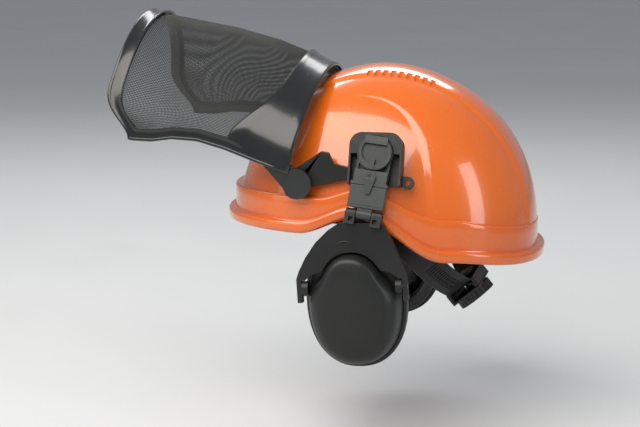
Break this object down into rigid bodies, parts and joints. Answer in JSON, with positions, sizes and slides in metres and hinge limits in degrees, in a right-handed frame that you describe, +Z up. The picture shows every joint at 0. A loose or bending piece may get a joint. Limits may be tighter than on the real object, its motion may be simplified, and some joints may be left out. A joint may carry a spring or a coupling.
{
  "type": "forestry helmet",
  "caption": "Hard shell forestry helmet with webbing harness and nape ratchet, a hinged mesh visor and two folding ear muffs on sliding arms.",
  "frame": {"origin": "centre of the head opening, on the helmet's mid-plane and level with the foot of the dome, about 8 mm above the lowest point of the rear brim", "axes": "+Z up to the crown, +X to the back of the helmet (the visor is on the -X side), +Y to the wearer's right; the mid-plane is Y = 0"},
  "size_m": [0.3468, 0.255, 0.2768],
  "materials": {
    "shell_orange": "glossy moulded plastic",
    "webbing": "woven polyester webbing",
    "harness_plastic": "moulded, lightly textured",
    "sweatband_leather": "soft perforated leather",
    "pad_foam": "open-cell foam",
    "visor_gloss": "glossy",
    "visor_mesh": "black coated wire mesh",
    "black_plastic": "satin",
    "seal_rubber": "matt",
    "seal_skin": "soft vinyl skin",
    "pin_steel": "turned",
    "arm_grey": "satin",
    "yoke_black": "satin"
  },
  "bodies": {
    "helmet": {"shell": "shell_orange", "crown_strap_front": "webbing", "crown_strap_middle": "webbing", "crown_strap_rear": "webbing", "harness_clips": "harness_plastic", "headband": "harness_plastic", "sweatband": "sweatband_leather", "nape_band_left": "harness_plastic", "nape_band_right": "harness_plastic", "nape_pad": "pad_foam", "ratchet_case": "harness_plastic", "ratchet_cover": "harness_plastic", "visor_arm_left": "black_plastic", "visor_arm_right": "black_plastic", "visor_pin_left": "pin_steel", "visor_pin_right": "pin_steel", "bracket_left": "black_plastic", "bracket_right": "black_plastic", "knob_pin_left": "pin_steel", "knob_pin_right": "pin_steel"},
    "visor": {"visor_frame": "visor_gloss", "visor_mesh": "visor_mesh", "visor_bead": "black_plastic", "brow_seal": "seal_rubber", "visor_ear_left": "visor_gloss", "visor_ear_right": "visor_gloss"},
    "size_knob": {"size_knob": "harness_plastic", "ratchet_pinion": "harness_plastic"},
    "rack_left": {"ratchet_rack_left": "harness_plastic"},
    "rack_right": {"ratchet_rack_right": "harness_plastic"},
    "arm_left": {"arm_upper_left": "arm_grey", "knob_cap_left": "arm_grey", "height_latch_left": "arm_grey"},
    "slider_left": {"arm_lower_left": "arm_grey", "fold_pin_left": "pin_steel"},
    "yoke_left": {"yoke_left": "yoke_black", "cup_pins_left": "pin_steel"},
    "cup_left": {"cup_shell_left": "black_plastic", "cup_trunnions_left": "black_plastic", "cup_plate_left": "black_plastic", "foam_liner_left": "pad_foam", "seal_cushion_left": "seal_skin"},
    "arm_right": {"arm_upper_right": "arm_grey", "knob_cap_right": "arm_grey", "height_latch_right": "arm_grey"},
    "slider_right": {"arm_lower_right": "arm_grey", "fold_pin_right": "pin_steel"},
    "yoke_right": {"yoke_right": "yoke_black", "cup_pins_right": "pin_steel"},
    "cup_right": {"cup_shell_right": "black_plastic", "cup_trunnions_right": "black_plastic", "cup_plate_right": "black_plastic", "foam_liner_right": "pad_foam", "seal_cushion_right": "seal_skin"}
  },
  "joints": [
    {"name": "visor_tilt", "type": "hinge", "parent": "helmet", "child": "visor", "pos_m": [-0.054, 0, 0.06], "axis": [0, 1, 0], "range_deg": [-102, 0]},
    {"name": "size_knob_turn", "type": "hinge", "parent": "helmet", "child": "size_knob", "pos_m": [0.07621, 0, -0.04345], "axis": [0.6428, 0, -0.766], "range_deg": [-45, 45]},
    {"name": "rack_left_slide", "type": "slide", "parent": "helmet", "child": "rack_left", "axis": [0, -1, 0], "range_m": [-0.004, 0.004]},
    {"name": "rack_right_slide", "type": "slide", "parent": "helmet", "child": "rack_right", "axis": [0, 1, 0], "range_m": [-0.004, 0.004]},
    {"name": "arm_turn_left", "type": "hinge", "parent": "helmet", "child": "arm_left", "pos_m": [0.009, -0.0886, 0.082], "axis": [0, -0.9511, 0.309], "range_deg": [-3, 7]},
    {"name": "muff_height_left", "type": "slide", "parent": "arm_left", "child": "slider_left", "axis": [-0.1219, -0.3067, -0.944], "range_m": [0, 0.01]},
    {"name": "muff_fold_left", "type": "hinge", "parent": "slider_left", "child": "yoke_left", "pos_m": [0.00303, -0.11504, 0.03945], "axis": [-0.9925, 0.0377, 0.1159], "range_deg": [0, 30]},
    {"name": "cup_tilt_left", "type": "hinge", "parent": "yoke_left", "child": "cup_left", "pos_m": [-0.00641, -0.113, -0.01903], "axis": [0.9976, 0, 0.0698], "range_deg": [-4, 4]},
    {"name": "arm_turn_right", "type": "hinge", "parent": "helmet", "child": "arm_right", "pos_m": [0.009, 0.0886, 0.082], "axis": [0, -0.9511, -0.309], "range_deg": [-3, 7]},
    {"name": "muff_height_right", "type": "slide", "parent": "arm_right", "child": "slider_right", "axis": [-0.1219, 0.3067, -0.944], "range_m": [0, 0.01]},
    {"name": "muff_fold_right", "type": "hinge", "parent": "slider_right", "child": "yoke_right", "pos_m": [0.00303, 0.11504, 0.03945], "axis": [0.9925, 0.0377, -0.1159], "range_deg": [0, 30]},
    {"name": "cup_tilt_right", "type": "hinge", "parent": "yoke_right", "child": "cup_right", "pos_m": [-0.00641, 0.113, -0.01903], "axis": [-0.9976, 0, -0.0698], "range_deg": [-4, 4]}
  ],
  "couplings": [
    {"joint": "rack_left_slide", "follows": "size_knob_turn", "m_per_rad": 0.0049},
    {"joint": "rack_right_slide", "follows": "size_knob_turn", "m_per_rad": 0.0049}
  ]
}
